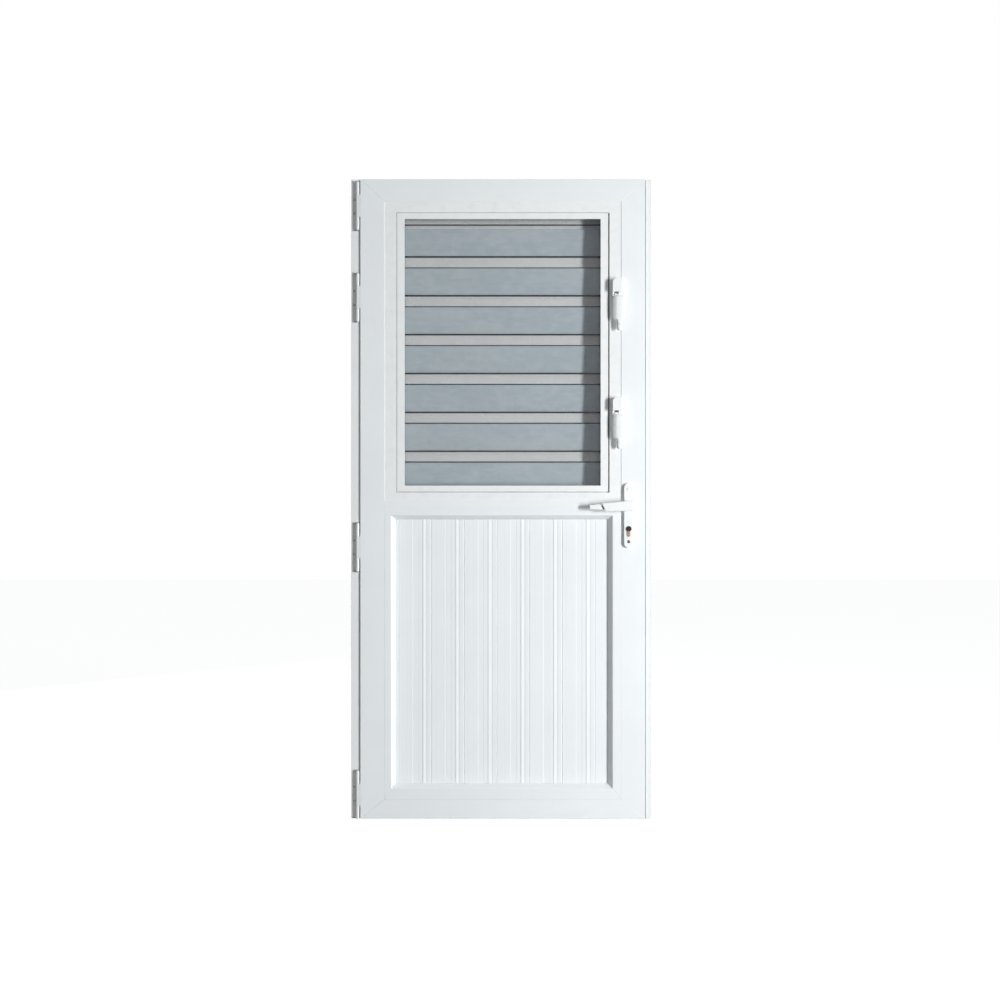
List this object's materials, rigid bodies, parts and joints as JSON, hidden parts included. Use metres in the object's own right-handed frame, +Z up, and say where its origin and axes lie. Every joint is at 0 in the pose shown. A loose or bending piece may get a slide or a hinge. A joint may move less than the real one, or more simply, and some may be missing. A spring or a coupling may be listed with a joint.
{
  "type": "louvred service door set",
  "caption": "Full-height white PVC service door in its frame, with a glass louvre window behind a fly screen above a ribbed plank panel, a lever handle and a key lock.",
  "frame": {"origin": "middle of the threshold's underside, on the floor, at mid width and mid depth of the frame", "axes": "+X to the right seen from the room, +Y through the door to the outside, +Z up"},
  "size_m": [0.938, 0.148, 2],
  "materials": {
    "frame_pvc": "satin extruded PVC, white",
    "leaf_pvc": "satin extruded PVC, white",
    "panel_pvc": "satin ribbed PVC plank, cool white",
    "louvre_white": "white powder coat on aluminium",
    "operator_white": "moulded nylon, white",
    "handle_white": "white powder coat on aluminium",
    "hinge_white": "white powder coat on aluminium",
    "mill_aluminium": "mill finish",
    "galvanised_steel": "galvanised",
    "seal_rubber": "matt grey-black",
    "screen_mesh": "fine woven mesh, dark grey",
    "blade_glass": "polished float glass, grey",
    "clip_grey": "moulded, grey",
    "lock_steel": "satin zinc",
    "cylinder_nickel": "worn satin nickel over brass",
    "screw_steel": "zinc plated"
  },
  "bodies": {
    "frame": {"frame_left_jamb": "frame_pvc", "frame_right_jamb": "frame_pvc", "frame_head": "frame_pvc", "threshold": "mill_aluminium", "frame_steels": "galvanised_steel", "frame_seal": "seal_rubber", "strike_plate": "lock_steel", "hinge_frame_halves": "hinge_white", "hinge_pins": "hinge_white", "frame_screws": "screw_steel"},
    "leaf": {"leaf_left_stile": "leaf_pvc", "leaf_right_stile": "leaf_pvc", "leaf_top_rail": "leaf_pvc", "leaf_mid_rail": "leaf_pvc", "leaf_bottom_rail": "leaf_pvc", "leaf_steels": "galvanised_steel", "leaf_seal": "seal_rubber", "bead_top": "leaf_pvc", "bead_bottom": "leaf_pvc", "side_beads": "leaf_pvc", "panel_planks": "panel_pvc", "louvre_head": "louvre_white", "louvre_sill": "louvre_white", "louvre_left_channel": "louvre_white", "louvre_right_channel": "louvre_white", "operator_bases": "operator_white", "screen_frame": "louvre_white", "screen_mesh": "screen_mesh", "screen_spline": "seal_rubber", "lock_case": "lock_steel", "lock_faceplate": "lock_steel", "lock_cylinder": "cylinder_nickel", "inner_backplate": "handle_white", "outer_backplate": "handle_white", "hinge_leaf_halves": "hinge_white", "leaf_screws": "screw_steel"},
    "handle": {"inner_lever": "handle_white", "outer_lever": "handle_white", "spindle": "lock_steel"},
    "latch": {"latch_bolt": "lock_steel"},
    "bolt": {"deadbolt": "lock_steel"},
    "key_plug": {"cylinder_plug": "cylinder_nickel"},
    "upper_bar": {"upper_tie_bar": "mill_aluminium"},
    "lower_bar": {"lower_tie_bar": "mill_aluminium"},
    "upper_operator": {"upper_lever": "operator_white"},
    "lower_operator": {"lower_lever": "operator_white"},
    "blade_1": {"blade_1_glass": "blade_glass", "blade_1_clips": "clip_grey"},
    "blade_2": {"blade_2_glass": "blade_glass", "blade_2_clips": "clip_grey"},
    "blade_3": {"blade_3_glass": "blade_glass", "blade_3_clips": "clip_grey"},
    "blade_4": {"blade_4_glass": "blade_glass", "blade_4_clips": "clip_grey"},
    "blade_5": {"blade_5_glass": "blade_glass", "blade_5_clips": "clip_grey"},
    "blade_6": {"blade_6_glass": "blade_glass", "blade_6_clips": "clip_grey"},
    "blade_7": {"blade_7_glass": "blade_glass", "blade_7_clips": "clip_grey"}
  },
  "joints": [
    {"name": "leaf_swing", "type": "hinge", "parent": "frame", "child": "leaf", "pos_m": [-0.448, -0.041, 1], "axis": [0, 0, -1], "range_deg": [0, 115]},
    {"name": "handle_turn", "type": "hinge", "parent": "leaf", "child": "handle", "pos_m": [0.398, -0.018, 0.981], "axis": [0, -1, 0], "range_deg": [0, 40], "stiffness_Nm_per_rad": 1, "springref_deg": -28.65},
    {"name": "latch_slide", "type": "slide", "parent": "leaf", "child": "latch", "axis": [-1, 0, 0], "range_m": [0, 0.011]},
    {"name": "key_turn", "type": "hinge", "parent": "leaf", "child": "key_plug", "pos_m": [0.398, -0.018, 0.908], "axis": [0, 1, 0], "range_deg": [0, 360]},
    {"name": "deadbolt_slide", "type": "slide", "parent": "leaf", "child": "bolt", "axis": [1, 0, 0], "range_m": [0, 0.02]},
    {"name": "blade_1_turn", "type": "hinge", "parent": "leaf", "child": "blade_1", "pos_m": [0.0065, 0.012, 1.8498], "axis": [1, 0, 0], "range_deg": [0, 80]},
    {"name": "blade_2_turn", "type": "hinge", "parent": "leaf", "child": "blade_2", "pos_m": [0.0065, 0.012, 1.7267], "axis": [1, 0, 0], "range_deg": [0, 80]},
    {"name": "blade_3_turn", "type": "hinge", "parent": "leaf", "child": "blade_3", "pos_m": [0.0065, 0.012, 1.6036], "axis": [1, 0, 0], "range_deg": [0, 80]},
    {"name": "blade_4_turn", "type": "hinge", "parent": "leaf", "child": "blade_4", "pos_m": [0.0065, 0.012, 1.4805], "axis": [1, 0, 0], "range_deg": [0, 80]},
    {"name": "blade_5_turn", "type": "hinge", "parent": "leaf", "child": "blade_5", "pos_m": [0.0065, 0.012, 1.3574], "axis": [1, 0, 0], "range_deg": [0, 80]},
    {"name": "blade_6_turn", "type": "hinge", "parent": "leaf", "child": "blade_6", "pos_m": [0.0065, 0.012, 1.2343], "axis": [1, 0, 0], "range_deg": [0, 80]},
    {"name": "blade_7_turn", "type": "hinge", "parent": "leaf", "child": "blade_7", "pos_m": [0.0065, 0.012, 1.1112], "axis": [1, 0, 0], "range_deg": [0, 80]},
    {"name": "upper_bar_turn", "type": "hinge", "parent": "blade_2", "child": "upper_bar", "pos_m": [0.335, -0.00715, 1.74277], "axis": [-1, 0, 0], "range_deg": [0, 80]},
    {"name": "lower_bar_turn", "type": "hinge", "parent": "blade_5", "child": "lower_bar", "pos_m": [0.335, -0.00715, 1.37347], "axis": [-1, 0, 0], "range_deg": [0, 80]},
    {"name": "upper_lever_turn", "type": "hinge", "parent": "leaf", "child": "upper_operator", "pos_m": [0.359, -0.058, 1.6336], "axis": [-1, 0, 0], "range_deg": [0, 47.38]},
    {"name": "lower_lever_turn", "type": "hinge", "parent": "leaf", "child": "lower_operator", "pos_m": [0.359, -0.058, 1.2643], "axis": [-1, 0, 0], "range_deg": [0, 47.38]}
  ],
  "couplings": [
    {"joint": "latch_slide", "follows": "handle_turn", "m_per_rad": 0.015756},
    {"joint": "key_turn", "follows": "deadbolt_slide", "rad_per_m": 314.16},
    {"joint": "blade_1_turn", "follows": "blade_2_turn", "ratio": 1},
    {"joint": "blade_3_turn", "follows": "blade_2_turn", "ratio": 1},
    {"joint": "upper_bar_turn", "follows": "blade_2_turn", "ratio": 1},
    {"joint": "upper_lever_turn", "follows": "blade_2_turn", "ratio": 0.59218},
    {"joint": "blade_4_turn", "follows": "blade_5_turn", "ratio": 1},
    {"joint": "blade_6_turn", "follows": "blade_5_turn", "ratio": 1},
    {"joint": "blade_7_turn", "follows": "blade_5_turn", "ratio": 1},
    {"joint": "lower_bar_turn", "follows": "blade_5_turn", "ratio": 1},
    {"joint": "lower_lever_turn", "follows": "blade_5_turn", "ratio": 0.59218}
  ]
}
